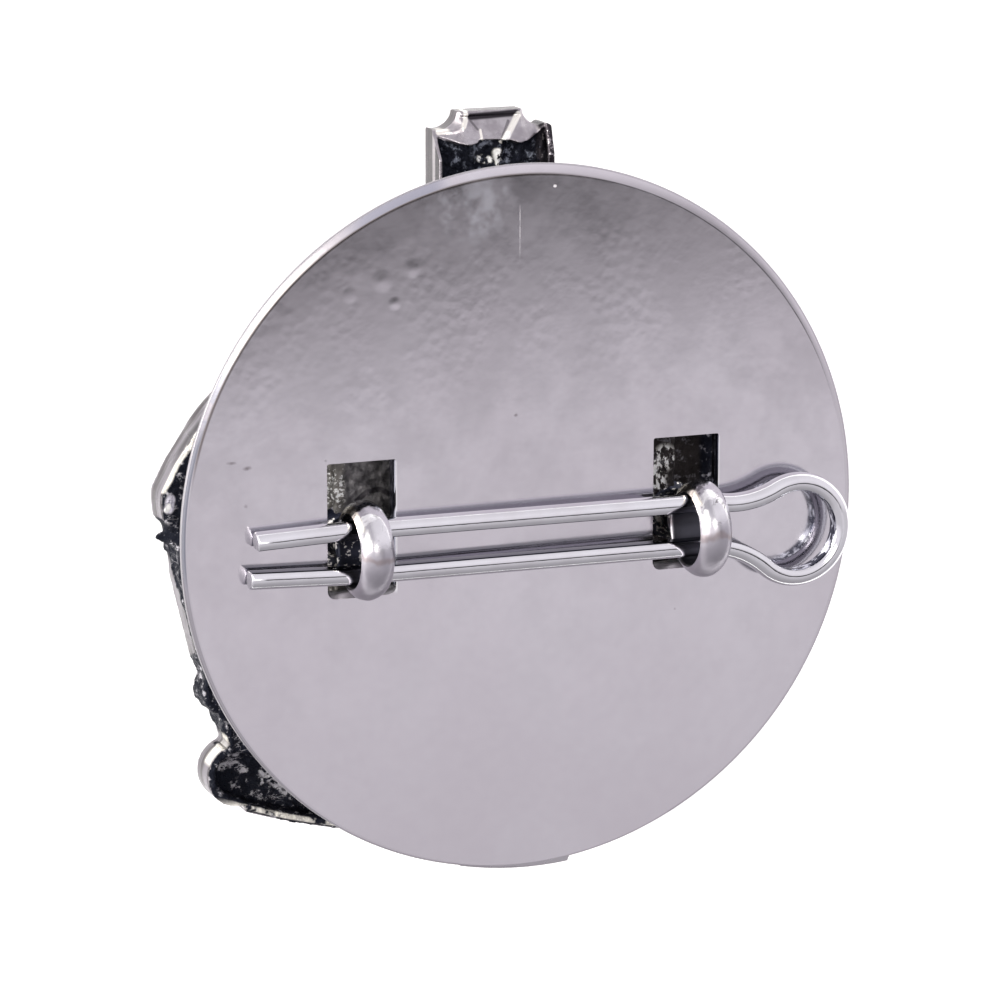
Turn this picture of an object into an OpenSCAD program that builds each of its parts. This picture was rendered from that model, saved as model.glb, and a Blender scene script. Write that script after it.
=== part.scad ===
// Crown badge with a slotted back plate and a split pin, in millimetres.
// Seen from the back: +X is right, +Y is the top of the crown, +Z points to the wearer.
// The origin is the centre of the back plate's cloth-side face.

/* [Back plate] */
// Diameter of the round back plate
plate_d = 42; // [41.6:0.2:42.6]
// Thickness of the back plate
plate_t = 0.7; // [0.6:0.05:0.75]
// Width of the bevel round the back edge, where it is widest
bevel_w = 0.7; // [0.5:0.05:0.9]
// Width of each slot
slot_w = 4.05; // [3.8:0.05:4.4]
// Height of each slot
slot_h = 8.0; // [7.6:0.1:8.4]
// Distance between the slot centres
slot_pitch = 20.35; // [20.2:0.05:20.6]

/* [Split pin] */
// Radius of the wire before its flat is rolled
wire_r = 0.62; // [0.58:0.01:0.64]
// Distance from the wire's centre to its flat
wire_flat = 0.44; // [0.36:0.02:0.48]
// Gap between the flats of the two legs
leg_gap = 1.66; // [1.5:0.02:1.68]
// Radius of the eye, to the wire's centre
eye_r = 2.84; // [2.7:0.02:3]
// Length of the upper leg's free end
tip_len = 5.8; // [4:0.1:6]
// Rise of the pin towards its eye, in degrees
pin_tilt = 1.35; // [1:0.05:1.4]

/* [Loops] */
// Distance between the two loops
loop_pitch = 20.76; // [20.6:0.02:20.9]
// Outer radius of a loop
loop_r = 2.9; // [2.85:0.01:2.95]
// Half the width of a loop
loop_half = 1.1; // [1:0.05:1.15]
// Radius of the hole that takes the pin
hole_r = 2.12; // [2.1:0.01:2.14]

/* [Crown] */
// Half width of the crown over its arches
arch_x = 19.45; // [19.3:0.05:19.6]
// Radius of the crown's shoulders
shoulder_r = 9.3; // [9.2:0.05:9.5]
// Thickness of the casting without its relief
body_t = 2.4; // [2.2:0.1:2.6]
// Depth of the hollows in the back
hollow_d = 1.3; // [1:0.1:1.5]
// Radius of the pearls on the arches
pearl_r = 0.8; // [0.7:0.05:0.9]
// Number of pearls on each shoulder
shoulder_pearls = 8; // [6:1:9]
// Number of pearls on the centre arch
centre_pearls = 10; // [8:1:11]
// Width of the top cross
cross_w = 7.2; // [7:0.1:7.4]

/* [Hidden] */
$fn = 72;
eps = 0.01;
plate_r = plate_d / 2;
slot_y = 0.28;
slot_corner = 0.8;
bevel_low = 0.2;
bevel_h = 0.28;

pin_y = -0.84;
pin_z = plate_t + 1.08;
leg_y = leg_gap / 2 + wire_flat;
grip_x = 11;
tip_in = 2.1;
tip_extra = 0.4;
fine = 0.01;
lap = 0.15;
kink_x = 10.9;
kink_r = 3;
kink_deg = 7.5;
stub = 0.52;
bend_r = 5.9;
bend_deg = acos((leg_y + bend_r) / (bend_r + eye_r));

loop_mid = 0.15;
loops = [
    // x, y and z of the centre of the hole
    [loop_mid - loop_pitch / 2, -0.74, 1.53],
    [loop_mid + loop_pitch / 2, -0.97, 2.28]
];
pad_z = -2.1;
step_z = -3;

// The casting sits a little to the left of the middle of the back plate.
casting_x = -0.45;
rim_z = -3.8;
front_z = rim_z - body_t;
face_z = -9.6;

shoulder_x = arch_x - shoulder_r;
shoulder_y = 0.5;
shoulder_deg = 20;
dome_r = (shoulder_x + shoulder_r * sin(shoulder_deg)) / sin(shoulder_deg);
dome_y = shoulder_y + (shoulder_r - dome_r) * cos(shoulder_deg);
dome_top = dome_y + dome_r;
arch_tube = 1.25;
arch_in = 1.15;
wall = 0.85;

band_r = 46;
band_y = 26;
band_h = 4.4;
band_deg = 19.6;
band_mid = band_r - band_h / 2;
side = [
    // half width, height
    [19.25, -1.4],
    [19.25, -2.9],
    [18.05, -8],
    [16.15, -13.6]
];
petal = [
    // half width, height
    [16.06, 7.97],
    [17.51, 6.27],
    [18.25, 5.44],
    [19.37, 3.86],
    [20.24, 2.21],
    [20.28, 1.62],
    [20.15, 0.53],
    [19.65, 0]
];
lobes = [
    // half width, height, radius
    [16.65, -10, 1.25],
    [15.8, -15.05, 1.9]
];

orb_r = 3.2;
orb_y = 13.8;
cross_h = 6.8;
cross_y = 20.25;
cross_z = -2.7;
bite_r = 1.15;
bite_in = 0.4;

metal = [0.78, 0.77, 0.79];

// Back plate

module slot_shape() {
    low = slot_y - slot_h / 2;
    translate([-slot_w / 2, low + slot_corner])
        square([slot_w, slot_h - slot_corner]);
    translate([-slot_w / 2 + slot_corner, low])
        square([slot_w - 2 * slot_corner, slot_h - slot_corner]);
    for (s = [-1, 1])
        translate([s * (slot_w / 2 - slot_corner), low + slot_corner])
            circle(slot_corner);
}

// The disc with the small nib that is left where it was cut from its strip.
module disc_shape() {
    circle(plate_r);
    intersection() {
        translate([0.7, -0.2])
            circle(plate_r);
        translate([-4.15, -plate_r - 1])
            square([7.05, 4]);
    }
}

module back_plate() {
    flat_r = plate_r - (bevel_w + bevel_low) / 2;
    grow = bevel_w + bevel_low;
    color(metal)
        difference() {
            intersection() {
                linear_extrude(plate_t)
                    disc_shape();
                translate([0, -(bevel_w - bevel_low) / 2, 0])
                    union() {
                        cylinder(r = flat_r + grow, h = plate_t - bevel_h);
                        translate([0, 0, plate_t - bevel_h])
                            cylinder(r1 = flat_r + grow, r2 = flat_r, h = bevel_h);
                    }
            }
            for (s = [-1, 1])
                translate([s * slot_pitch / 2, 0, 0]) {
                    translate([0, 0, -1])
                        linear_extrude(plate_t + 2)
                            slot_shape();
                    translate([0, slot_y - slot_h / 2, plate_t])
                        rotate([45, 0, 0])
                            cube([slot_w - 2 * slot_corner, 0.5, 0.5], center = true);
                }
        }
}

// Split pin

// The half-round section of the wire; its flat is on the left, or on the right with side -1.
module wire_shape(less, side) {
    wide = 3 * wire_r;
    intersection() {
        circle(wire_r - less);
        translate([side > 0 ? less - wire_flat : wire_flat - less - wide, -wire_r - 1])
            square([wide, 2 * wire_r + 2]);
    }
}

// A straight length of wire along +X, its flat towards -Y.
module straight_wire(length, less) {
    rotate([90, 0, 90])
        linear_extrude(length)
            wire_shape(less, 1);
}

// A short bend that laps a little into the wire on both sides of it.
module bend(radius, deg, side) {
    lap_deg = lap / radius * 180 / PI;
    rotate([0, 0, -90 - lap_deg])
        rotate_extrude(angle = deg + 2 * lap_deg)
            translate([radius, 0])
                wire_shape(fine, side);
}

// One straight leg with its inward tip.
module leg(free) {
    translate([-grip_x, leg_y, 0]) {
        straight_wire(grip_x + kink_x, 0);
        rotate([0, 0, tip_in])
            translate([-free, 0, 0])
                straight_wire(free + lap, fine);
    }
}

// The two bends and the eye, which droop a little beyond the right loop.
module neck() {
    for (s = [0, 1])
        mirror([0, s, 0]) {
            translate([0, leg_y, 0])
                straight_wire(stub, 0);
            translate([stub, leg_y + bend_r, 0])
                bend(bend_r, bend_deg, -1);
        }
    translate([stub + (bend_r + eye_r) * sin(bend_deg), 0, 0])
        rotate([0, 0, -90 - bend_deg])
            rotate_extrude(angle = 180 + 2 * bend_deg)
                translate([eye_r, 0])
                    wire_shape(0, 1);
}

module split_pin() {
    color(metal)
        translate([0, pin_y, pin_z])
            rotate([0, -pin_tilt, 0]) {
                leg(tip_len);
                mirror([0, 1, 0])
                    leg(tip_len + tip_extra);
                translate([kink_x, -kink_r, 0]) {
                    for (s = [-1, 1])
                        rotate([0, 0, 180 - kink_deg])
                            bend(kink_r + s * leg_y, kink_deg, s);
                    rotate([0, 0, -kink_deg])
                        translate([0, kink_r, 0])
                            neck();
                }
            }
}

// Outlines of the crown

// Part of the circlet between two radii, seen from its centre above the crown.
module band_shape(inner, outer, half) {
    translate([0, band_y])
        intersection() {
            difference() {
                circle(outer);
                circle(inner);
            }
            polygon([[0, 0], [-60 * tan(half), -60], [60 * tan(half), -60]]);
        }
}

module dome_shape(inset) {
    half_x = dome_r * sin(shoulder_deg);
    for (s = [-1, 1])
        translate([s * shoulder_x, shoulder_y])
            circle(shoulder_r - inset);
    intersection() {
        translate([0, dome_y])
            circle(dome_r - inset);
        translate([-half_x, -4])
            square([2 * half_x, 30]);
    }
}

module side_shape(inset) {
    right = [for (p = side) [p[0] - inset, p[1]]];
    left = [for (i = [len(side) - 1:-1:0]) [inset - side[i][0], side[i][1]]];
    polygon(concat([[14, 3]], right, left, [[-14, 3]]));
}

// The leaf that swells out of the casting at the foot of each shoulder.
module petal_shape() {
    for (s = [0, 1])
        mirror([s, 0])
            polygon(concat([[14, 0], [14, 6.5]], petal));
}

module cross_shape(w, h, bite, inset) {
    difference() {
        square([w, h], center = true);
        for (sx = [-1, 1])
            for (sy = [-1, 1])
                translate([sx * (w / 2 - inset), sy * (h / 2)])
                    circle(bite);
    }
}

// Back of the crown

module hollows() {
    translate([0, 0, rim_z - hollow_d])
        linear_extrude(hollow_d + 1)
            difference() {
                union() {
                    dome_shape(wall);
                    side_shape(wall);
                }
                translate([-30, -34])
                    square([60, 22]);
            }
    translate([0, 0, rim_z - hollow_d])
        linear_extrude(hollow_d + 1) {
            band_shape(band_r - band_h + 0.8, band_r - 0.6, band_deg + 0.9);
            for (s = [-1, 1])
                translate([s * lobes[1][0], lobes[1][1]])
                    circle(lobes[1][2] - 0.55);
        }
}

module loop() {
    rotate([0, 90, 0])
        difference() {
            rotate_extrude()
                translate([loop_r - loop_half, 0])
                    circle(loop_half);
            cylinder(r = hole_r, h = 4 * loop_half, center = true);
        }
}

// A stepped pad carries each loop up to the back plate.
module loop_feet() {
    pad_low = -4.6;
    pad_h = 9.2;
    pad_in = 6.4;
    start_z = front_z + 0.5;
    for (s = [0, 1])
        mirror([s, 0, 0]) {
            translate([pad_in, pad_low, start_z])
                cube([10.8 - pad_in, pad_h, pad_z - start_z]);
            translate([pad_in + 0.6, pad_low, start_z])
                cube([13.7 - pad_in - 0.6, pad_h, step_z - start_z]);
        }
    for (p = loops) {
        translate(p)
            loop();
        translate([p[0], p[1], start_z])
            cylinder(r = 1.2, h = p[2] - loop_r + 0.55 - start_z);
    }
}

// Front of the crown

// Pearls set along an arc, from one angle to another.
module pearl_row(radius, from, to, count, z) {
    for (i = [0:count - 1]) {
        a = from + (to - from) * i / (count - 1);
        translate([radius * cos(a), radius * sin(a), z])
            sphere(pearl_r);
    }
}

module side_arch() {
    mid = shoulder_r - arch_in;
    stem = 9.4;
    stem_deg = 13.5;
    translate([shoulder_x + mid * cos(31), shoulder_y - mid * sin(31), front_z])
        rotate([0, 0, -stem_deg]) {
            rotate([90, 0, 0])
                cylinder(r = arch_tube - 0.04, h = stem);
            for (i = [0:2])
                translate([0, -1.7 - 2.3 * i, -arch_tube + 0.1])
                    sphere(pearl_r);
        }
    translate([shoulder_x, shoulder_y, front_z])
        rotate([0, 0, -32])
            rotate_extrude(angle = 122 - shoulder_deg)
                translate([mid, 0])
                    circle(arch_tube);
    translate([shoulder_x, shoulder_y, 0])
        pearl_row(mid, -30, 88 - shoulder_deg, shoulder_pearls, front_z - arch_tube + 0.1);
    translate([0, dome_y, 0])
        pearl_row(dome_r - arch_in, 86.5, 90 - shoulder_deg + 3.5, 5, front_z - arch_tube + 0.1);
}

module top_arch() {
    half = shoulder_deg + 0.8;
    translate([0, dome_y, front_z])
        rotate([0, 0, 90 - half])
            rotate_extrude(angle = 2 * half)
                translate([dome_r - arch_in, 0])
                    circle(arch_tube - 0.06);
}

// The centre arch leans out over the cap, from the circlet to the orb.
module centre_arch() {
    low = -13;
    high = dome_top - 0.6;
    rise = 1.2;
    half = (high - low) / 2;
    bow_r = (half * half + rise * rise) / (2 * rise);
    sweep = asin(half / bow_r);
    mid_y = (high + low) / 2;
    translate([0, mid_y, front_z - 0.25 - rise + bow_r])
        rotate([0, 90, 0]) {
            rotate([0, 0, -sweep])
                rotate_extrude(angle = 2 * sweep)
                    translate([bow_r, 0])
                        circle(arch_tube);
            for (i = [0:centre_pearls - 1]) {
                a = sweep * (0.12 + 0.76 * i / (centre_pearls - 1)) * 2 - sweep;
                rotate([0, 0, a])
                    translate([bow_r + arch_tube - 0.35, 0, 0])
                        sphere(pearl_r);
            }
        }
}

module cap() {
    puff_r = 26;
    puff_h = 2.3;
    intersection() {
        union()
            for (s = [-1, 1])
                translate([s * 9.2, -0.6, front_z - puff_h + puff_r])
                    sphere(puff_r);
        translate([0, 0, front_z - puff_h - 1])
            linear_extrude(puff_h + 1.6)
                union() {
                    dome_shape(1);
                    side_shape(1);
                }
    }
}

// A small three-leafed ornament that stands on the circlet.
module leaf_ornament() {
    translate([0, 0.5, 0])
        intersection() {
            translate([-1.9, 0, 0])
                circle(2.9);
            translate([1.9, 0, 0])
                circle(2.9);
        }
    for (s = [-1, 1])
        translate([s * 1.5, -0.5])
            circle(0.85);
    translate([-2.2, -2.1])
        square([4.4, 0.8]);
    translate([-0.6, -3])
        square([1.2, 3]);
}

// Places something on the circlet, at an angle and a radius from its centre.
module on_band(deg, radius) {
    translate([0, band_y, 0])
        rotate([0, 0, deg])
            translate([0, -radius, 0])
                children();
}

module circlet() {
    plate_z = front_z - 0.9;
    edge = 0.5;
    edge_deg = band_deg - 0.4;
    translate([0, 0, plate_z])
        linear_extrude(rim_z - plate_z - 1.4)
            band_shape(band_r - band_h + 0.2, band_r - 0.2, band_deg);
    for (r = [band_r - 0.1, band_r - band_h + 0.4])
        translate([0, band_y, plate_z - 0.06])
            rotate([0, 0, -90 - edge_deg])
                rotate_extrude(angle = 2 * edge_deg)
                    translate([r, 0])
                        circle(edge);
    jewel = [
        // angle, kind
        [0, 1],
        [4.9, 0],
        [9.8, 2],
        [14.2, 0],
        [18, 1]
    ];
    for (s = [-1, 1])
        for (j = jewel)
            on_band(s * j[0], band_mid)
                if (j[1] == 0) {
                    translate([0, 0, plate_z])
                        sphere(0.75);
                } else if (j[1] == 1) {
                    translate([0, 0, plate_z])
                        rotate([0, 0, 45])
                            cube([1.7, 1.7, 2.4], center = true);
                } else {
                    translate([0, 0, face_z + 1.5])
                        sphere(1.5);
                    translate([0, 0, plate_z - 0.2])
                        cylinder(r = 1.5, h = 0.9);
                }
}

module front_ornaments() {
    translate([0, -12.1, front_z - 2])
        linear_extrude(2.4)
            cross_shape(5, 5, 0.9, 0.35);
    translate([0, -12.1, front_z - 2])
        sphere(1);
    for (s = [-1, 1])
        on_band(s * 11, band_r - band_h - 2.6)
            translate([0, 0, front_z - 1.5])
                linear_extrude(2)
                    leaf_ornament();
}

module orb() {
    translate([0, orb_y, face_z + orb_r + 0.25]) {
        sphere(orb_r);
        rotate([90, 0, 0])
            rotate_extrude()
                translate([orb_r - 0.15, 0])
                    circle(0.4);
    }
}

module top_cross() {
    reach = cross_h / 2;
    translate([0, cross_y, cross_z])
        difference() {
            union() {
                translate([0, 0, -body_t])
                    linear_extrude(body_t)
                        cross_shape(cross_w, cross_h, bite_r, bite_in);
                translate([0, 0, -body_t])
                    sphere(1.3);
            }
            // the upper arm slopes away to its end
            translate([0, 0.85, 0])
                rotate([-26, 0, 0])
                    translate([-5, -0.2, 0])
                        cube([10, 5, 3]);
            for (s = [-1, 1])
                translate([s * (cross_w / 2 - bite_in), reach, -1.3])
                    cylinder(r1 = bite_r, r2 = bite_r + 1.5, h = 1.31);
            for (s = [-1, 1])
                translate([s * cross_w / 2, 0, 0])
                    rotate([0, 35, 0])
                        cube([0.7, 12, 0.9], center = true);
            translate([-cross_w / 2 + 0.75, -2.6, -0.9])
                cube([cross_w - 1.5, 3.2, 1]);
        }
}

module casting() {
    difference() {
        translate([0, 0, front_z])
            linear_extrude(body_t)
                union() {
                    dome_shape(0);
                    side_shape(0);
                    petal_shape();
                    band_shape(band_r - band_h, band_r, band_deg);
                    translate([-13, -17.2])
                        square([26, 4.5]);
                    for (s = [-1, 1])
                        for (p = lobes)
                            translate([s * p[0], p[1]])
                                circle(p[2]);
                    translate([-2, 8])
                        square([4, 10]);
                }
        hollows();
    }
    for (s = [-1, 1])
        translate([s * 19.15, -0.4, rim_z - 0.8])
            rotate([0, s * 90, 0])
                cylinder(r1 = 0.8, r2 = 0.1, h = 1.3);
    cap();
    for (s = [0, 1])
        mirror([s, 0, 0])
            side_arch();
    top_arch();
    centre_arch();
    circlet();
    front_ornaments();
    orb();
    top_cross();
}

module crown() {
    color(metal) {
        translate([casting_x, 0, 0])
            casting();
        loop_feet();
    }
}

crown();
back_plate();
split_pin();
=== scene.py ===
import math
from collections import namedtuple

import bmesh
import bpy
import numpy as np
from mathutils import Matrix, Vector, noise


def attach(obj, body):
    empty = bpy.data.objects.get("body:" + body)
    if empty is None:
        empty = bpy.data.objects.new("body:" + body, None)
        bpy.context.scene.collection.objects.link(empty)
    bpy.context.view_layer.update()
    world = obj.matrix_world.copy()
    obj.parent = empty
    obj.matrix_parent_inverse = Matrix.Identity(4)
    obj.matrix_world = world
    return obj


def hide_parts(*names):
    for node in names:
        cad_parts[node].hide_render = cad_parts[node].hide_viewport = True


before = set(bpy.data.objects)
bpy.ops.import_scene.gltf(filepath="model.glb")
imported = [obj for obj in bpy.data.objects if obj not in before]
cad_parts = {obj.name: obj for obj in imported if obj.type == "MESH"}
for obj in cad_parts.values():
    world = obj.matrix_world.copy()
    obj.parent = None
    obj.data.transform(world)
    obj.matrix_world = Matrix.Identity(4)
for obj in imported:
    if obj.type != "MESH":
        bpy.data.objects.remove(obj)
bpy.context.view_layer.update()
MM = 0.001

# Sizes repeated from part.scad, in millimetres.
PLATE_R = 21.0
PLATE_T = 0.7
NIB_SHIFT = (0.7, -0.2)
NIB_X = (-4.15, 2.9)
SLOT_W = 4.05
SLOT_H = 8.0
SLOT_X = 10.175
SLOT_Y = 0.28
PIN_Y = -0.84
PIN_Z = 1.78
PIN_TILT = 1.35
WIRE_R = 0.62
WIRE_FLAT = 0.44
LEG_Y = 1.27
GRIP_X = 11.0
TIP_IN = 2.1
TIP_LEN = 5.8
TIP_EXTRA = 0.4
KINK_X = 10.9
KINK_R = 3.0
KINK_DEG = 7.5
STUB = 0.52
BEND_R = 5.9
EYE_R = 2.84
LOOPS = [(-10.23, -0.74, 1.53), (10.53, -0.97, 2.28)]
LOOP_R = 2.9
LOOP_HALF = 1.1
HOLE_R = 2.12
PAD_Z = -2.1
CASTING_X = -0.45
RIM_Z = -3.8
FRONT_Z = -6.2
FACE_Z = -9.6
BAND_R = 46.0
BAND_Y = 26.0
BODY_T = 2.4
CROSS_Y = 20.25
CROSS_Z = -2.7
CROSS_W = 7.2
CROSS_H = 6.8
BITE_R = 1.15
BITE_IN = 0.4
BALL_R = 1.3
LOBE = (16.65, -10.0)
SPIKE = (19.6, -0.4)

# Sizes of the scene alone, in millimetres.
BEVEL = (0.31, 0.27, -0.06)  # width: mean, and its swing towards +Y and +X
BEVEL_THIN = 0.17  # how much narrower it is at BEVEL_TURN
BEVEL_TURN = math.radians(148)
BEVEL_SLOPE = math.tan(math.radians(11))
RIM_ROUND = 0.07
EDGE_UNDER = [
    # inset from the rim, height: the rounded lower edge
    (0, 0.45), (0.07, 0.28), (0.18, 0.12), (0.28, 0),
]
SLOT_CORNER = 0.5
SLOT_TOP_CORNER = 0.12
SLOT_ROLL = 0.3  # height of the rolled mouth
SLOT_FOOT = 0.6  # how far up the leaning foot of a slot reaches
SLOT_FOOT_IN = 0.36  # how far in it leans
KNOB = (3.3, 2.12)
KNOB_R = 0.32
CROSS_CUT = 17.0  # the casting is cut here and the finer cross takes over
PAD_TOP = PAD_Z + 0.05  # the plate drops to just above this
VOXEL = 0.17  # grid of the rough skin
CROSS_VOXEL = 0.07
CASTING_TRIANGLES = 180000
CROSS_TRIANGLES = 60000


# Mesh helpers

def link(name, verts, faces, smooth=True):
    """A new object in the scene, from points in millimetres."""
    mesh = bpy.data.meshes.new(name)
    mesh.from_pydata([Vector(v) * MM for v in verts], [], faces)
    mesh.validate()
    obj = bpy.data.objects.new(name, mesh)
    bpy.context.scene.collection.objects.link(obj)
    if smooth:
        mesh.shade_smooth()
    return obj


def apply_modifiers(obj):
    """Turns an object's modifiers into its mesh."""
    dg = bpy.context.evaluated_depsgraph_get()
    mesh = bpy.data.meshes.new_from_object(obj.evaluated_get(dg))
    obj.modifiers.clear()
    old = obj.data
    obj.data = mesh
    bpy.data.meshes.remove(old)


def recalc(obj):
    """Turns all faces outwards."""
    bm = bmesh.new()
    bm.from_mesh(obj.data)
    bmesh.ops.recalc_face_normals(bm, faces=bm.faces)
    bm.to_mesh(obj.data)
    bm.free()


def ring_faces(a, b, n):
    """Quads between two rings of n points that start at a and b."""
    return [(a + i, a + (i + 1) % n, b + (i + 1) % n, b + i) for i in range(n)]


def smooth_sharp(obj, degrees):
    """Smooth shading that stays flat on large faces and sharp at the edges steeper than an angle."""
    obj.data.shade_smooth()
    obj.data.set_sharp_from_angle(angle=math.radians(degrees))
    mod = obj.modifiers.new("normals", "WEIGHTED_NORMAL")
    mod.keep_sharp = True
    apply_modifiers(obj)


# Back plate

def plate_radius(a):
    """Radius of the disc at an angle, with the small nib at its foot."""
    dx, dy = NIB_SHIFT
    c, s = math.cos(a), math.sin(a)
    b = c * dx + s * dy
    far = b + math.sqrt(b * b - dx * dx - dy * dy + PLATE_R ** 2)
    return far if s < 0 and NIB_X[0] < far * c < NIB_X[1] else PLATE_R


def bevel_width(a):
    """Width of the bevel at an angle: widest at the top, thin at the upper left."""
    wide = BEVEL[0] + BEVEL[1] * math.sin(a) + BEVEL[2] * math.cos(a)
    return wide - BEVEL_THIN * max(0.0, math.cos(a - BEVEL_TURN)) ** 3


def make_plate():
    """The disc with its uneven bevel and two punched slots."""
    n, steps = 720, 5
    angles = [2 * math.pi * i / n for i in range(n)]
    verts, rings = [], []

    def add_ring(inset, z):
        rings.append(len(verts))
        for a in angles:
            r = plate_radius(a) - inset(a)
            verts.append((r * math.cos(a), r * math.sin(a), z(a)))

    # the flat face eases into the bevel, which ends in a rounded rim
    add_ring(lambda a: bevel_width(a) + 0.12, lambda a: PLATE_T)
    add_ring(lambda a: bevel_width(a) + 0.04, lambda a: PLATE_T - 0.004)
    for k in range(steps + 1):
        u, v = math.sin(k / steps * math.pi / 2), 1 - math.cos(k / steps * math.pi / 2)
        add_ring(lambda a: RIM_ROUND * (1 - u),
                 lambda a: PLATE_T - 0.01 - max(0.0, bevel_width(a) - RIM_ROUND) * BEVEL_SLOPE - RIM_ROUND * v)
    for inset, z in EDGE_UNDER:
        add_ring(lambda a: inset, lambda a: z)
    faces = []
    for a, b in zip(rings, rings[1:]):
        faces += ring_faces(a, b, n)
    faces.append(tuple(reversed(range(rings[0], rings[0] + n))))
    faces.append(tuple(range(rings[-1], rings[-1] + n)))
    obj = link("plate_disc", verts, faces)
    recalc(obj)
    for s in (-1, 1):
        cutter = slot_cutter(s * SLOT_X)
        mod = obj.modifiers.new("slot", "BOOLEAN")
        mod.operation = "DIFFERENCE"
        mod.solver = "EXACT"
        mod.object = cutter
        apply_modifiers(obj)
        bpy.data.objects.remove(cutter)
    smooth_sharp(obj, 24)
    return obj


def slot_outline():
    """The slot's outline, counter-clockwise, with rounded lower corners and small upper ones."""
    w, low, high = SLOT_W / 2, SLOT_Y - SLOT_H / 2, SLOT_Y + SLOT_H / 2
    big, small = SLOT_CORNER, SLOT_TOP_CORNER
    pts = []
    for cx, cy, r, start, n in ((-w + big, low + big, big, 180, 8), (w - big, low + big, big, 270, 8),
                                (w - small, high - small, small, 0, 3), (-w + small, high - small, small, 90, 3)):
        for k in range(n + 1):
            a = math.radians(start + 90 * k / n)
            pts.append((cx + r * math.cos(a), cy + r * math.sin(a)))
    return pts


def slot_cutter(x):
    """A cutter for one slot. Its mouth rolls over, most at the foot, as a punched slot does."""
    steps = 5
    levels = [(-1, 0)]
    levels += [(PLATE_T - SLOT_ROLL + SLOT_ROLL * k / steps, (k / steps) ** 1.5) for k in range(steps + 1)]
    levels.append((PLATE_T + 1, levels[-1][1]))
    base = slot_outline()
    n = len(base)
    low = SLOT_Y - SLOT_H / 2
    verts, faces = [], []
    for z, roll in levels:
        for px, py in base:
            foot = max(0.0, min(1.0, (low + SLOT_FOOT - py) / SLOT_FOOT))
            side = 0.12 if px > SLOT_W / 2 - 0.3 else 0.02  # the right side rolls over most
            verts.append((x + px + math.copysign(side * roll, px), py + (1 - roll) * SLOT_FOOT_IN * foot, z))
    for k in range(len(levels) - 1):
        faces += ring_faces(k * n, (k + 1) * n, n)
    faces.append(tuple(reversed(range(n))))
    faces.append(tuple(range((len(levels) - 1) * n, len(levels) * n)))
    obj = link("slot_cutter", verts, faces, smooth=False)
    recalc(obj)
    return obj


# Split pin

def wire_section():
    """Half-round section with eased corners: (outward, up) pairs."""
    steps, ease_turn, ease_in = 24, 0.16, 0.13
    half = math.acos(-WIRE_FLAT / WIRE_R)
    arc = [((half - ease_turn) * (2 * k / steps - 1)) for k in range(steps + 1)]
    pts = [(WIRE_R * math.cos(a), WIRE_R * math.sin(a)) for a in arc]
    top = WIRE_R * math.sin(half)
    first, corner, last = pts[-1], (-WIRE_FLAT, top), (-WIRE_FLAT, top - ease_in)
    for k in range(1, 6):
        t = k / 5
        pts.append(tuple((1 - t) ** 2 * first[i] + 2 * t * (1 - t) * corner[i] + t * t * last[i] for i in (0, 1)))
    return pts + [(u, -v) for u, v in reversed(pts[steps + 1:])]


def pin_path():
    """Points and outward normals along the wire's middle, from the upper tip round the eye to the lower tip."""
    bend = math.acos((LEG_Y + BEND_R) / (BEND_R + EYE_R))
    eye_x = STUB + (BEND_R + EYE_R) * math.sin(bend)
    kink, tip = math.radians(KINK_DEG), math.radians(TIP_IN)
    neck_at = Vector((KINK_X + KINK_R * math.sin(kink), KINK_R * math.cos(kink) - KINK_R))
    neck_turn = Matrix.Rotation(-kink, 2)
    path = []

    def straight(p, q, n):
        p, q = Vector(p), Vector(q)
        d = (q - p).normalized()
        for k in range(n + 1):
            path.append((p + (q - p) * k / n, Vector((-d.y, d.x))))

    def arc(c, r, a0, a1, n, sign, to=lambda p: p, turn=Matrix.Identity(2)):
        for k in range(1, n + 1):
            a = a0 + (a1 - a0) * k / n
            d = Vector((math.cos(a), math.sin(a)))
            path.append((to(Vector(c) + d * r), turn @ (d * sign)))

    def in_neck(p):
        return neck_at + neck_turn @ p

    q = math.pi / 2
    slope = Vector((math.cos(tip), math.sin(tip)))
    grip = Vector((-GRIP_X, LEG_Y))
    straight(grip - slope * TIP_LEN, grip - slope * 0.5, 6)
    straight(grip + Vector((0.5, 0)), (KINK_X - 0.05, LEG_Y), 20)
    arc((KINK_X, -KINK_R), KINK_R + LEG_Y, q, q - kink, 5, 1)
    arc((STUB, LEG_Y + BEND_R), BEND_R, -q, -q + bend, 12, -1, in_neck, neck_turn)
    arc((eye_x, 0), EYE_R, q + bend, -q - bend, 80, 1, in_neck, neck_turn)
    arc((STUB, -LEG_Y - BEND_R), BEND_R, q - bend, q, 12, -1, in_neck, neck_turn)
    path.append((in_neck(Vector((STUB * 0.1, -LEG_Y))), neck_turn @ Vector((0, -1))))
    arc((KINK_X, -KINK_R), KINK_R - LEG_Y, q - kink * 0.9, q, 5, -1)
    grip = Vector((-GRIP_X, -LEG_Y))
    slope = Vector((math.cos(tip), -math.sin(tip)))
    straight((KINK_X - 0.1, -LEG_Y), grip + Vector((0.5, 0)), 20)
    straight(grip - slope * 0.5, grip - slope * (TIP_LEN + TIP_EXTRA), 6)
    return path


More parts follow.
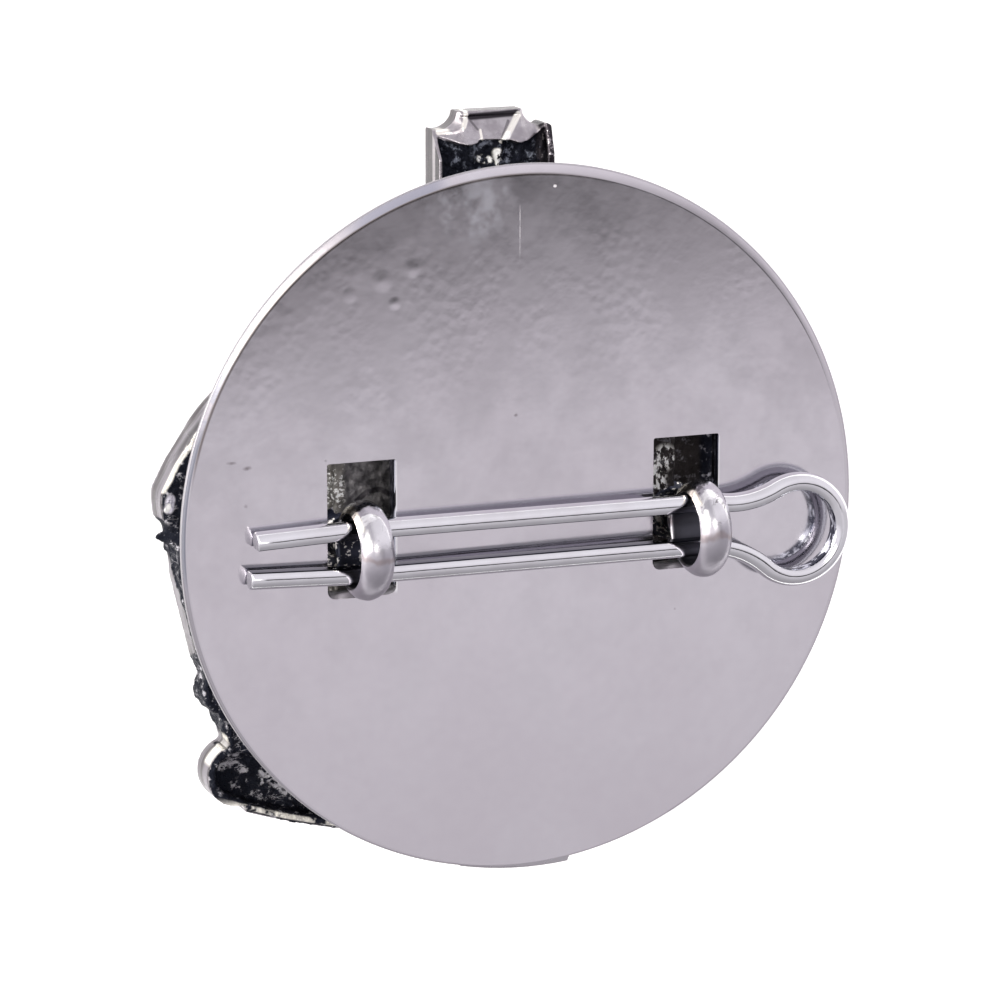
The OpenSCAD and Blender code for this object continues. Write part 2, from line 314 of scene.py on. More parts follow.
def make_pin():
    """The wire swept along its path, with eased cut ends, and masks of its flat and of its ends."""
    section, path = wire_section(), pin_path()
    n = len(section)
    verts, faces, flat, tip = [], [], [], []

    def ring(p, nrm, size, shift):
        at = p + shift
        for u, v in section:
            verts.append((at.x + nrm.x * u * size, at.y + nrm.y * u * size, v * size))
            flat.append(1.0 if u < 0.03 - WIRE_FLAT else 0.0)
            tip.append(1.0 if size < 0.97 else 0.0)

    def inward(nrm, sign):
        return Vector((nrm.y, -nrm.x)) * sign

    caps = [(0.78, 0.0), (0.9, 0.03), (0.98, 0.08)]  # size of the section, distance in from the end
    for size, off in caps:
        ring(path[0][0], path[0][1], size, inward(path[0][1], off))
    for i, (p, nrm) in enumerate(path):
        off = 0.14 if i == 0 else -0.14 if i == len(path) - 1 else 0
        ring(p, nrm, 1, inward(nrm, off))
    for size, off in reversed(caps):
        ring(path[-1][0], path[-1][1], size, inward(path[-1][1], -off))
    rings = len(verts) // n
    for k in range(rings - 1):
        faces += ring_faces(k * n, (k + 1) * n, n)
    faces.append(tuple(range(n)))
    faces.append(tuple(reversed(range((rings - 1) * n, rings * n))))
    obj = link("pin_wire", verts, faces)
    for name, values in (("flat", flat), ("tip", tip)):
        obj.data.attributes.new(name, "FLOAT", "POINT").data.foreach_set("value", values)
    place = Matrix.Translation(Vector((0, PIN_Y, PIN_Z)) * MM) @ Matrix.Rotation(-math.radians(PIN_TILT), 4, "Y")
    obj.data.transform(place)
    recalc(obj)
    obj.data.shade_smooth()
    obj.data.set_sharp_from_angle(angle=math.radians(50))
    return obj


# Ring loops

def loop_section():
    """A fat half-round bead with eased edges round the drilled hole: (radius, x) pairs."""
    centre = LOOP_R - LOOP_HALF
    edge = math.acos((HOLE_R + 0.12 - centre) / LOOP_HALF)
    pts = [(centre + LOOP_HALF * math.cos(edge * k / 16), LOOP_HALF * math.sin(edge * k / 16)) for k in range(-16, 17)]
    side = pts[-1][1]
    eased = [(HOLE_R + 0.05, side - 0.05), (HOLE_R + 0.01, side - 0.14), (HOLE_R, side - 0.26)]
    return pts + eased + [(HOLE_R, 0.3), (HOLE_R, -0.3)] + [(r, -x) for r, x in reversed(eased)]


def make_loops():
    """Both ring loops, a little lumpy, with the solder cone that each stands in."""
    section, turns = loop_section(), 120
    n = len(section)
    verts, faces = [], []
    for cx, cy, cz in LOOPS:
        base = len(verts)
        for t in range(turns):
            a = 2 * math.pi * t / turns
            for r, x in section:
                p = Vector((cx + x, cy + r * math.sin(a), cz + r * math.cos(a)))
                lump = (noise.noise(p * 0.9) * 0.05 + noise.noise(p * 2.3) * 0.02) * (r - HOLE_R) / LOOP_HALF
                verts.append((p.x, p.y + lump * math.sin(a), p.z + lump * math.cos(a)))
        for t in range(turns):
            faces += ring_faces(base + t * n, base + (t + 1) % turns * n, n)
        faces += cone(verts, cx, cy, PAD_Z - 0.3, cz - LOOP_R + 0.5)
    obj = link("loop_rings", verts, faces)
    recalc(obj)
    obj.data.shade_smooth()
    obj.data.set_sharp_from_angle(angle=math.radians(60))
    return obj


def cone(verts, cx, cy, low, high):
    """Faces of a flared foot from low to high; its points are added to verts."""
    n, steps = 40, 8
    base = len(verts)
    for k in range(steps + 1):
        t = k / steps
        r = 1.12 + 0.75 * (1 - t) ** 3
        for i in range(n):
            a = 2 * math.pi * i / n
            wob = 1 + 0.06 * noise.noise(Vector((math.cos(a) * 2, math.sin(a) * 2, t * 2)))
            verts.append((cx + r * wob * math.cos(a), cy + r * wob * math.sin(a), low + (high - low) * t))
    faces = []
    for k in range(steps):
        faces += ring_faces(base + k * n, base + (k + 1) * n, n)
    faces.append(tuple(reversed(range(base, base + n))))
    faces.append(tuple(range(base + steps * n, base + (steps + 1) * n)))
    return faces


# Casting

def make_casting():
    """The cast crown without its loops and top cross: the solid's own shape, softened and roughened."""
    obj = bpy.data.objects.new("crown_casting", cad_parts["crown"].data.copy())
    bpy.context.scene.collection.objects.link(obj)
    bm = bmesh.new()
    bm.from_mesh(obj.data)
    bmesh.ops.remove_doubles(bm, verts=bm.verts, dist=1e-7)
    for at, along in (((0, 0, PAD_Z + 0.04), (0, 0, 1)), ((0, CROSS_CUT, 0), (0, 1, 0))):
        geom = bm.verts[:] + bm.edges[:] + bm.faces[:]
        cut = bmesh.ops.bisect_plane(bm, geom=geom, plane_co=Vector(at) * MM, plane_no=along, clear_outer=True)
        edges = [e for e in cut["geom_cut"] if isinstance(e, bmesh.types.BMEdge)]
        bmesh.ops.holes_fill(bm, edges=edges)
    bm.to_mesh(obj.data)
    bm.free()
    remesh(obj, VOXEL)
    roughen(obj.data, VOXEL)
    co, _ = coords(obj.data)
    co[:, 2] = np.minimum(co[:, 2], PAD_TOP)
    put(obj.data, co)
    fewer(obj, CASTING_TRIANGLES)
    return obj


def remesh(obj, voxel):
    """One even skin of small quads, a little softened."""
    mod = obj.modifiers.new("remesh", "REMESH")
    mod.mode = "VOXEL"
    mod.voxel_size = voxel * MM
    mod.adaptivity = 0
    mod = obj.modifiers.new("soften", "SMOOTH")
    mod.factor = 0.5
    mod.iterations = 2
    apply_modifiers(obj)


def fewer(obj, triangles):
    """The same shape in a limited number of triangles."""
    mod = obj.modifiers.new("fewer", "DECIMATE")
    mod.ratio = min(1.0, triangles / sum(len(p.vertices) - 2 for p in obj.data.polygons))
    apply_modifiers(obj)
    obj.data.shade_smooth()


def cross_outline():
    """Outline of the top cross about its own centre, counter-clockwise."""
    bx, by = CROSS_W / 2 - BITE_IN, CROSS_H / 2
    end = math.degrees(math.acos(BITE_IN / BITE_R))
    quarter = [math.radians(180 + (180 - end) * k / 16) for k in range(17)]
    corner = [(bx + BITE_R * math.cos(a), by + BITE_R * math.sin(a)) for a in quarter]
    corner[-1] = (CROSS_W / 2, corner[-1][1])
    pts = list(reversed(corner)) + [(-x, y) for x, y in corner]
    return pts + [(-x, -y) for x, y in pts]


def prism(verts, faces, outline, low, high):
    """Adds an upright prism to points and faces."""
    base, n = len(verts), len(outline)
    verts += [(x, y, z) for z in (low, high) for x, y in outline]
    faces += ring_faces(base, base + n, n)
    faces += [tuple(reversed(range(base, base + n))), tuple(range(base + n, base + 2 * n))]


def knob_outline(cx, cy, r):
    """A small circle of 24 points."""
    return [(cx + r * math.cos(math.pi * k / 12), cy + r * math.sin(math.pi * k / 12)) for k in range(24)]


POCKET = [
    # distance from the cross's middle, height of the pocket's upper edge
    (-3.6, 22.2), (-3.34, 22.13), (-2.75, 21.94), (-2.18, 21.7), (-1.59, 21.56), (-1.06, 21.7), (-0.91, 21.85),
    (0.5, 21.83), (0.94, 21.77), (1.53, 21.58), (2.18, 21.71), (2.88, 22.06), (3.3, 22.5), (3.6, 22.8),
]
RIDGES = [
    # points of the raised ridges on the cross's back, which also carry a painted highlight
    [(-1.56, 23.5), (-1.58, 23.04), (-1.77, 22.66), (-2.3, 22.43), (-3.25, 22.36)],
    [(1.72, 23.2), (1.14, 22.47), (0.57, 21.79)],
    [(-0.8, 22.45), (-0.79, 21.85)],
]


def path_distance(x, y, points):
    """Distance of each place from a line through the points."""
    best = np.full(x.shape, 1e9)
    for (ax, ay), (bx, by) in zip(points, points[1:]):
        dx, dy = bx - ax, by - ay
        t = np.clip(((x - ax) * dx + (y - ay) * dy) / (dx * dx + dy * dy), 0, 1)
        best = np.minimum(best, np.hypot(x - ax - t * dx, y - ay - t * dy))
    return best


def in_pocket(x, y, soft, side, end):
    """1 in the cross's pocket, fading over its upper edge by soft and over its sides from side to end."""
    edge = np.interp(x, [p[0] for p in POCKET], [p[1] for p in POCKET])
    return (1 - ramp(y, edge - 0.1, edge + soft)) * (1 - ramp(np.abs(x + 0.06), side, end))


def cross_back(x, y):
    """Height of the cross's back: a sloping upper arm, two scooped corners, ridges and a rough pocket."""
    pocket_depth, ridge_tall, ridge_half = 1.25, 0.1, 0.12
    arm_y, arm_slope, scoop_r, scoop_wide, scoop_depth = 20.95, 0.488, 2.75, 1.6, 1.3
    slope = -arm_slope * np.maximum(y - arm_y, 0)
    lip = 0.16 * ramp(y, 23.3, 23.42)
    right = ramp(x, 2.7, 3.4)
    scoop = np.zeros_like(x)
    for sign in (-1, 1):
        r = np.hypot(x - sign * (CROSS_W / 2 - BITE_IN), y - CROSS_Y - CROSS_H / 2)
        scoop = np.minimum(scoop, -scoop_depth * (scoop_r - r) / scoop_wide)
    z = np.minimum((slope + lip) * (1 - right), scoop * (1 - 0.6 * right))
    for points in RIDGES:
        z = z + ridge_tall * np.exp(-(path_distance(x, y, points) / ridge_half) ** 2)
    ribs = np.exp(-((x - 0.42) / 0.3) ** 2) * 0.5 + np.exp(-((x + 1.25) / 0.22) ** 2) * 0.35
    z = z + (-pocket_depth + ribs - z) * in_pocket(x, y, 0.06, 3.18, 3.34)
    return CROSS_Z + z


def make_cross():
    """The top cross with the finer relief of its back."""
    verts, faces = [], []
    low = CROSS_Z - BODY_T
    prism(verts, faces, cross_outline(), low, CROSS_Z)
    prism(verts, faces, knob_outline(*KNOB, KNOB_R), low + 0.1, CROSS_Z)
    n, rows = 32, 16
    base = len(verts)
    for k in range(1, rows):
        r, z = BALL_R * math.sin(math.pi * k / rows), low + BALL_R * math.cos(math.pi * k / rows)
        verts += [(r * math.cos(2 * math.pi * i / n), r * math.sin(2 * math.pi * i / n), z) for i in range(n)]
    for k in range(rows - 2):
        faces += ring_faces(base + (k + 1) * n, base + k * n, n)
    faces += [tuple(range(base, base + n)), tuple(reversed(range(base + (rows - 2) * n, base + (rows - 1) * n)))]
    obj = link("crown_cross", [(x + CASTING_X, y + CROSS_Y, z) for x, y, z in verts], faces)
    recalc(obj)
    remesh(obj, CROSS_VOXEL)
    co, _ = coords(obj.data)
    x, y = co[:, 0] - CASTING_X, co[:, 1]
    # above a thin front layer, the flat back is drawn down to its relief
    front = 0.2
    part = (co[:, 2] - low - front) / (BODY_T - front)
    relief = low + front + part * (cross_back(x, y) - low - front)
    co[:, 2] = np.where(co[:, 2] > low + front, relief, co[:, 2])
    co[:, 1] -= 0.12 * ramp(y, 22.6, 23.6)
    put(obj.data, co)
    roughen(obj.data, CROSS_VOXEL)
    fewer(obj, CROSS_TRIANGLES)
    return obj


# Casting relief

def coords(mesh):
    """Points and normals of a mesh as arrays, the points in millimetres."""
    co = np.empty(len(mesh.vertices) * 3, dtype=np.float32)
    nrm = np.empty_like(co)
    mesh.vertices.foreach_get("co", co)
    mesh.vertex_normals.foreach_get("vector", nrm)
    return co.reshape(-1, 3) / MM, nrm.reshape(-1, 3)


def put(mesh, co):
    """Moves a mesh's points to places in millimetres."""
    mesh.vertices.foreach_set("co", (co * MM).astype(np.float32).ravel())
    mesh.update()


def ramp(x, low, high):
    """Smooth step from 0 at low to 1 at high."""
    t = np.clip((x - low) / (high - low), 0, 1)
    return t * t * (3 - 2 * t)


WALL_DARK = [
    # depth below the middle, height above which the outer wall is dark
    (-0.8, -3.4), (-0.4, -7.2), (1.5, -6.6), (2.5, -5.4), (4, -4.7), (7.5, -4.4), (8.4, -7), (12.4, -7), (13.2, -3.4),
]


def tarnish(co, nrm):
    """How dark and rough the casting is at each point: 1 in the recesses of its back, 0 on its bright skin."""
    x, y, z = co[:, 0] - CASTING_X, co[:, 1], co[:, 2]
    side = np.hypot(nrm[:, 0], nrm[:, 1])
    out = (nrm[:, 0] * x + nrm[:, 1] * y) / np.maximum(np.hypot(x, y), 1e-6)
    behind = z > FRONT_Z + 0.45
    body = y < 16
    ends = ramp(np.abs(x), 13, 14.5)
    # the hollow's floor and inner walls, and the pads in it
    floor = (nrm[:, 2] > 0.35) & (z < RIM_Z - 0.3)
    inner = (side > 0.5) & (out < -0.1) & (z < RIM_Z - 0.05)
    feet = z > RIM_Z + 0.2
    dark = np.where(body & behind & (floor | inner | feet), 1.0, 0.0)
    # the rim's back at the sides and foot
    outer = np.maximum(ends, ramp(-y, 13.5, 14.5))
    edge = ramp(-y, -7.4, -6.0) * outer * (nrm[:, 2] > 0.55) * behind
    dark = np.maximum(dark, np.where(body, edge, 0.0))
    # the back part of the outer walls at the sides
    level = np.interp(-y, [p[0] for p in WALL_DARK], [p[1] for p in WALL_DARK])
    wall = ramp(z, level - 0.15, level + 0.15) * ramp(side, 0.4, 0.6) * (out > 0.2) * ends
    dark = np.maximum(dark, np.where(body, wall, 0.0))
    for at, reach in ((LOBE, 1.9), (SPIKE, 1.2)):
        near = 1 - ramp(np.hypot(np.abs(x) - at[0], y - at[1]), reach * 0.8, reach)
        dark = np.maximum(dark, near * behind)
    pocket = in_pocket(x, y, 0.02, 3.16, 3.26) * (nrm[:, 2] > -0.2)
    return np.maximum(dark, np.where(body, 0.0, pocket))


def neighbours_mean(values, edges):
    """Mean of each point's neighbours."""
    total = np.zeros_like(values)
    count = np.zeros(len(values))
    for a, b in ((0, 1), (1, 0)):
        np.add.at(total, edges[:, a], values[edges[:, b]])
        np.add.at(count, edges[:, a], 1)
    return total / np.maximum(count, 1).reshape((-1,) + (1,) * (values.ndim - 1))


def roughen(mesh, voxel):
    """Lumps in the recesses of the back, with masks for the materials: recess, and cavity for any hollow corner."""
    co, nrm = coords(mesh)
    edges = np.empty(len(mesh.edges) * 2, dtype=np.int32)
    mesh.edges.foreach_get("vertices", edges)
    edges = edges.reshape(-1, 2)
    cavity = ((neighbours_mean(co, edges) - co) * nrm).sum(axis=1) / voxel
    recess = tarnish(co, nrm)
    for _ in range(3):
        cavity = (cavity + neighbours_mean(cavity, edges)) / 2
    lump = np.zeros(len(co), dtype=np.float32)
    for i in np.nonzero(recess > 0.02)[0]:
        p = Vector(co[i].tolist())
        lump[i] = noise.noise(p * 1.1) * 0.15 + noise.noise(p * 2.9) * 0.1 + noise.noise(p * 5.5) * 0.05
    co += nrm * (lump * recess)[:, None]
    put(mesh, co)
    for name, values in (("recess", recess), ("cavity", cavity)):
        mesh.attributes.new(name, "FLOAT", "POINT").data.foreach_set("value", values.astype(np.float32))


# Shader helpers

class Value:
    """A shader socket in plain arithmetic: each sum or product adds a math node to its tree."""

    def __init__(self, socket):
        self.socket = socket
        self.tree = socket.id_data

    def math(self, operation, *values, clamp=False):
        return node(self.tree, "ShaderNodeMath", enumerate(values), operation=operation, use_clamp=clamp)

    def __add__(self, other):
        return self.math("ADD", self, other)

    def __sub__(self, other):
        return self.math("SUBTRACT", self, other)

    def __rsub__(self, other):
        return self.math("SUBTRACT", other, self)

    def __mul__(self, other):
        return self.math("MULTIPLY", self, other)

    def __truediv__(self, other):
        return self.math("DIVIDE", self, other)

    def __pow__(self, other):
        return self.math("POWER", self, other)

    def __abs__(self):
        return self.math("ABSOLUTE", self)


def connect(socket, value):
    """Gives an input socket a Value or a constant. A colour is given as three numbers."""
    if isinstance(value, Value):
        value.tree.links.new(value.socket, socket)
    elif socket.type == "RGBA":
        socket.default_value = (*value, 1)
    else:
        socket.default_value = value


def node(tree, kind, inputs=(), output=0, **settings):
    """One output of a new node, as a Value."""
    n = tree.nodes.new(kind)
    for key, value in settings.items():
        setattr(n, key, value)
    for key, value in dict(inputs).items():
        connect(n.inputs[key], value)
    return Value(n.outputs[output])


def vector(operation, a, b=(0, 0, 0)):
    """A vector, or the number that a length, a distance or a dot product gives."""
    output = 1 if operation in ("LENGTH", "DISTANCE", "DOT_PRODUCT") else 0
    return node(a.tree, "ShaderNodeVectorMath", {0: a, 1: b}, output, operation=operation)


def stretched(place, by):
    return vector("MULTIPLY", place, by)


def split(place):
    """The x, y and z of a place."""
    n = place.tree.nodes.new("ShaderNodeSeparateXYZ")
    connect(n.inputs[0], place)
    return [Value(s) for s in n.outputs]


def joined(x, y):
    return node(x.tree, "ShaderNodeCombineXYZ", {0: x, 1: y})


def most(first, *others):
    for other in others:
        first = first.math("MAXIMUM", first, other)
    return first


def span(value, low, high, to_low=0.0, to_high=1.0):
    """Smooth step of a value from one range to another."""
    inputs = {0: value, 1: low, 2: high, 3: to_low, 4: to_high}
    return node(value.tree, "ShaderNodeMapRange", inputs, interpolation_type="SMOOTHSTEP")


def mix(factor, a, b):
    """A colour from a, where the factor is 0, to b, where it is 1."""
    return node(factor.tree, "ShaderNodeMix", {0: factor, 6: a, 7: b}, 2, data_type="RGBA")


def grain(place, scale, detail=3.0, rough=0.5):
    """Noise from 0 to 1, mostly near 0.5; scale is in features for each millimetre."""
    inputs = {"Vector": place, "Scale": scale, "Detail": detail, "Roughness": rough}
    return node(place.tree, "ShaderNodeTexNoise", inputs, "Fac")


def near_path(flat, points, width):
    """1 on a line through points of the XY plane, fading to 0 at its width."""
    nearest = None
    for (ax, ay), (bx, by) in zip(points, points[1:]):
        way = Vector((bx - ax, by - ay, 0))
        off = vector("SUBTRACT", flat, (ax, ay, 0))
        part = vector("DOT_PRODUCT", off, way / way.length_squared)
        part = part.math("ADD", part, 0.0, clamp=True)
        along = node(flat.tree, "ShaderNodeVectorMath", {0: way, "Scale": part}, operation="SCALE")
        far = vector("DISTANCE", off, along)
        nearest = far.math("MINIMUM", nearest, far) if nearest else far
    return span(nearest, width, width * 0.5)


def tone_ramp(value, table, scale, shift, tint):
    """Colours by value: the table holds (value, tone), and value * scale + shift runs from 0 to 1."""
    n = value.tree.nodes.new("ShaderNodeValToRGB")
    connect(n.inputs[0], value * scale + shift)
    band = n.color_ramp
    while len(band.elements) < len(table):
        band.elements.new(0.5)
    for e, (at, tone) in zip(band.elements, table):
        e.position = at * scale + shift
        e.color = (*(tone * c for c in tint), 1)
    return Value(n.outputs[0])


def facing(place):
    """The surface's own normal, split into x, y and z."""
    return split(node(place.tree, "ShaderNodeNewGeometry", (), "True Normal"))


def attribute(place, name):
    return node(place.tree, "ShaderNodeAttribute", (), "Fac", attribute_name=name)


def metal(name, colour, rough):
    """A metal, its shader, and the place of its points in millimetres."""
    m = bpy.data.materials.new(name)
    m.use_nodes = True
    bsdf = m.node_tree.nodes["Principled BSDF"]
    bsdf.inputs["Metallic"].default_value = 1
    bsdf.inputs["Roughness"].default_value = rough
    connect(bsdf.inputs["Base Color"], colour)
    at = node(m.node_tree, "ShaderNodeTexCoord", (), "Object")
    return m, bsdf, stretched(at, (1 / MM,) * 3)


def bump(bsdf, heights):
    """Bump from (height, size in millimetres) pairs, one over the other."""
    normal = None
    for height, size in heights:
        inputs = {"Height": height, "Distance": size * MM, "Strength": 1.0}
        if normal:
            inputs["Normal"] = normal
        normal = node(height.tree, "ShaderNodeBump", inputs)
    connect(bsdf.inputs["Normal"], normal)


# Plate metal

STAINS = [
    # x, y, half length, half height and darkness
    (-17.92, 4.8, 0.3, 0.13, 0.6), (-17.02, 4.42, 0.27, 0.15, 0.65), (-0.6, 6.32, 0.16, 0.12, 0.5),
    (-17.1, 2.2, 0.14, 0.14, 0.3), (-12.3, 4.5, 0.12, 0.1, 0.25), (9.6, -6.2, 0.1, 0.1, 0.25),
]
SPECK = [(1.77, 19.6), (1.81, 19.6)]
SCRATCH_X = -0.375
SMEAR = (-3.1, 18.6)
KNOCKS = [
    # x, y, radius and height of a small knock that stands a few microns proud of the plate
    (-10.75, 13.98, 0.55, 0.003), (-8.8, 14.7, 0.75, 0.0044),
    (-7.0, 15.34, 0.65, 0.0038), (-8.05, 13.35, 0.45, 0.0038),
]
KNOCK_TALL = 0.0044
RIPPLE_TALL = 0.0016


def inside_bevel(flat, x, y, radius):
    """Distance inwards from the bevel's inner edge: the shader's form of bevel_width."""
    width = y / radius * BEVEL[1] + (x / radius * BEVEL[2] + BEVEL[0])
    turned = vector("DOT_PRODUCT", flat, (math.cos(BEVEL_TURN), math.sin(BEVEL_TURN), 0))
    width = width - most(turned / radius, 0.0) ** 3.0 * BEVEL_THIN
    return PLATE_R - radius - width


def plate_marks(colour, at, flat, x, y):
    """The colour with a bluish smear, a fine scratch, a speck and stains, and the masks of smear and scratch."""
    reach = (x - SMEAR[0]) * 0.42 + (grain(at, 0.6) - 0.5) * 2.2
    down = (y - SMEAR[1]) * 0.45
    smear = span(reach * reach + down * down, 1.4, 0.1) * span(grain(at, 0.9, 5, 0.65), 0.36, 0.62)
    colour = mix(smear * 0.4, colour, (0.9, 0.94, 1))
    thin = span(abs(x - SCRATCH_X), 0.06, 0.015)
    long = span(y, 15.1, 16.2) * span(y, 18.8, 18.2) * grain(at, 2.0)
    scratch = most(thin * long * 0.5, near_path(flat, SPECK, 0.1))
    colour = mix(scratch, colour, (1, 0.98, 0.98))
    wobble = (grain(at, 3.0) - 0.5) * 1.2
    for sx, sy, wide, high, dark in STAINS:
        off = vector("SUBTRACT", at, (sx, sy, PLATE_T))
        far = vector("LENGTH", stretched(off, (1 / wide, 1 / high, 1)))
        colour = mix(span(far + wobble, 1.2, 0.1, 0.0, dark), colour, (0.16, 0.13, 0.13))
    return colour, smear, scratch


def plate_rim_painted_shade(colour, at, flat, x, y, radius):
    """The colour with painted shade on the bevel: a painted dark line at its inner edge, painted shade in the corner
    beside it, and darker painted tones along its top and left.
    """
    inset = inside_bevel(flat, x, y, radius)
    # painted shade: a dark line just inside the bevel's inner edge
    line = span(abs(inset - 0.08), 0.14, 0.03) * span(x, 7.0, -1.0) * span(y, 3.0, 6.0) * 0.8
    # painted shade in the corner beside the bevel at the upper left
    corner = span(radius, 18.0, 20.0) * span(x, -5.0, -9.0) * span(y, 7.5, 11.0) * 0.1
    bevel = span(inset, 0.03, -0.02)
    # painted shade: darker tones on parts of the bevel, and a dark line inside it on the left
    high = bevel * span(x, -11.5, -9.5) * span(x, -4.4, -5.8) * span(y, 10.0, 12.0)
    upper = bevel * span(x, -14.9, -15.6) * span(y, 5.6, 6.4) * span(grain(at, 0.9), 0.62, 0.45)
    left = bevel * span(x, -10.0, -16.0) * span(y, 7.6, 5.6)
    inner = left * span(inset, -0.14, -0.04) * span(y, -3.0, 0.0) * 0.5
    for mask, tone in (
            (line, (0.26, 0.225, 0.21)), (corner, (0.1, 0.09, 0.1)), (high, (0.5, 0.5, 0.57)),
            (upper, (0.62, 0.62, 0.69)), (left * span(y, -4.0, -1.0), (0.5, 0.51, 0.56)),
            (left * span(y, -1.0, -4.0), (0.53, 0.51, 0.54)), (inner, (0.22, 0.23, 0.28))):
        colour = mix(mask, colour, tone)
    return colour


def plate_edges(colour, at, x, y, radius, up):
    """The colour with a painted highlight on the slots' right lips, darker slot walls, a rough mottled mouth at each
    slot's foot and painted shade on the rougher outer edge, and the mask of what is dull.
    """
    for slot in (-SLOT_X, SLOT_X):
        # painted highlight: a white line along each slot's right lip
        lip = span(abs(x - (slot + SLOT_W / 2 + 0.1)), 0.14, 0.05)
        lip = lip * span(abs(y - SLOT_Y), SLOT_H / 2, SLOT_H / 2 - 0.3) * span(up, 0.6, 0.8)
        colour = mix(lip, colour, (1, 1, 1))
    middle = span(radius, 19.0, 18.0)
    wall = span(up, 0.6, 0.4) * middle
    # painted shade on the outer edge, which is also rougher
    edge = most(span(up, 0.95, 0.7) * span(radius, 20.3, 20.6), span(radius, PLATE_R - 0.12, PLATE_R - 0.05, 0, 0.6))
    mouth = span(up, 0.985, 0.96) * span(y, -3.0, -3.4) * middle
    colour = mix(wall, colour, (0.2, 0.21, 0.27))
    colour = mix(edge, colour, (0.38, 0.365, 0.39))
    colour = mix(mouth, colour, mix(grain(at, 3.0, 4, 0.7), (0.3, 0.29, 0.3), (0.72, 0.7, 0.72)))
    return colour, most(mouth, edge)


def polished_plate():
    """Bright metal with a rippled upper half, a few marks, painted shade on its bevel and outer edge, painted
    highlights on its slot lips, and duller edges.
    """
    m, bsdf, at = metal("polished_plate", (0.74, 0.72, 0.745), 0.12)
    x, y, _ = split(at)
    flat = stretched(at, (1, 1, 0))
    radius = vector("LENGTH", flat)
    colour = mix(span(grain(at, 0.09, 4, 0.55), 0.35, 0.65), (0.735, 0.70, 0.74), (0.765, 0.735, 0.775))
    colour = mix(span(grain(at, 1.1, 5, 0.65), 0.35, 0.65, 0.0, 0.1), colour, (0.62, 0.58, 0.63))
    colour, smear, scratch = plate_marks(colour, at, flat, x, y)
    colour = plate_rim_painted_shade(colour, at, flat, x, y, radius)
    colour, dull = plate_edges(colour, at, x, y, radius, facing(at)[2])
    connect(bsdf.inputs["Base Color"], colour)
    rough = span(grain(at, 0.35, 5, 0.6), 0.3, 0.7, 0.1, 0.16)
    connect(bsdf.inputs["Roughness"], rough + smear * 0.06 + dull * 0.25 + scratch * 0.5)
    inputs = {"Vector": at, "Scale": 1.5, "Smoothness": 0.5, "Randomness": 1.0}
    cells = node(at.tree, "ShaderNodeTexVoronoi", inputs, "Distance", feature="SMOOTH_F1", voronoi_dimensions="2D")
    ripples = cells * span(y, 4.5, 9.0) * span(y, 18.5, 16.0) * span(grain(at, 0.25, 2), 0.40, 0.6)
    knocks = most(*(span(vector("DISTANCE", flat, (kx, ky, 0)), wide, 0.0, 0.0, tall / KNOCK_TALL)
                    for kx, ky, wide, tall in KNOCKS))
    bump(bsdf, [(ripples, RIPPLE_TALL), (grain(at, 0.22, 2), 0.006), (grain(at, 1.6, 3), 0.0012), (knocks, KNOCK_TALL)])
    return m


# Pin and loop metal

def bright_wire():
    """Drawn wire: bright where it is round, with painted shade on its flat and underneath, painted reflections streaked
    on the flat in the eye, and rougher at its cut ends.
    """
    m, bsdf, at = metal("bright_wire", (0.80, 0.80, 0.83), 0.07)
    flat, tip = attribute(at, "flat"), attribute(at, "tip")
    lines = grain(stretched(at, (0.25, 3.0, 3.0)), 2.0, 4, 0.6)
    bright = mix(span(grain(at, 0.5), 0.3, 0.7), (0.78, 0.77, 0.8), (0.83, 0.83, 0.86))
    in_eye = span(split(at)[0], 15.0, 17.0)
    # painted reflections: light streaks on the flat inside the eye
    streaks = span(grain(stretched(at, (1, 1, 2.5)), 1.3, 4, 0.6), 0.5, 0.56) * in_eye
    # painted shade: the flat is painted dark navy
    dull = mix(streaks, (0.03, 0.035, 0.06), (0.9, 0.94, 1))
    # painted shade on the faces that turn downwards
    under_shade = span(facing(at)[2], -0.05, -0.6, 0.0, 0.75)
    colour = mix(span(flat, 0.3, 0.9), mix(under_shade, bright, (0.2, 0.21, 0.25)), dull)
    connect(bsdf.inputs["Base Color"], mix(tip, colour, (0.45, 0.445, 0.48)))
    connect(bsdf.inputs["Roughness"], span(lines, 0.3, 0.75, 0.05, 0.12) + tip * 0.4)
    bump(bsdf, [(lines, 0.0015), (grain(at, 0.8, 2), 0.012)])
    return m


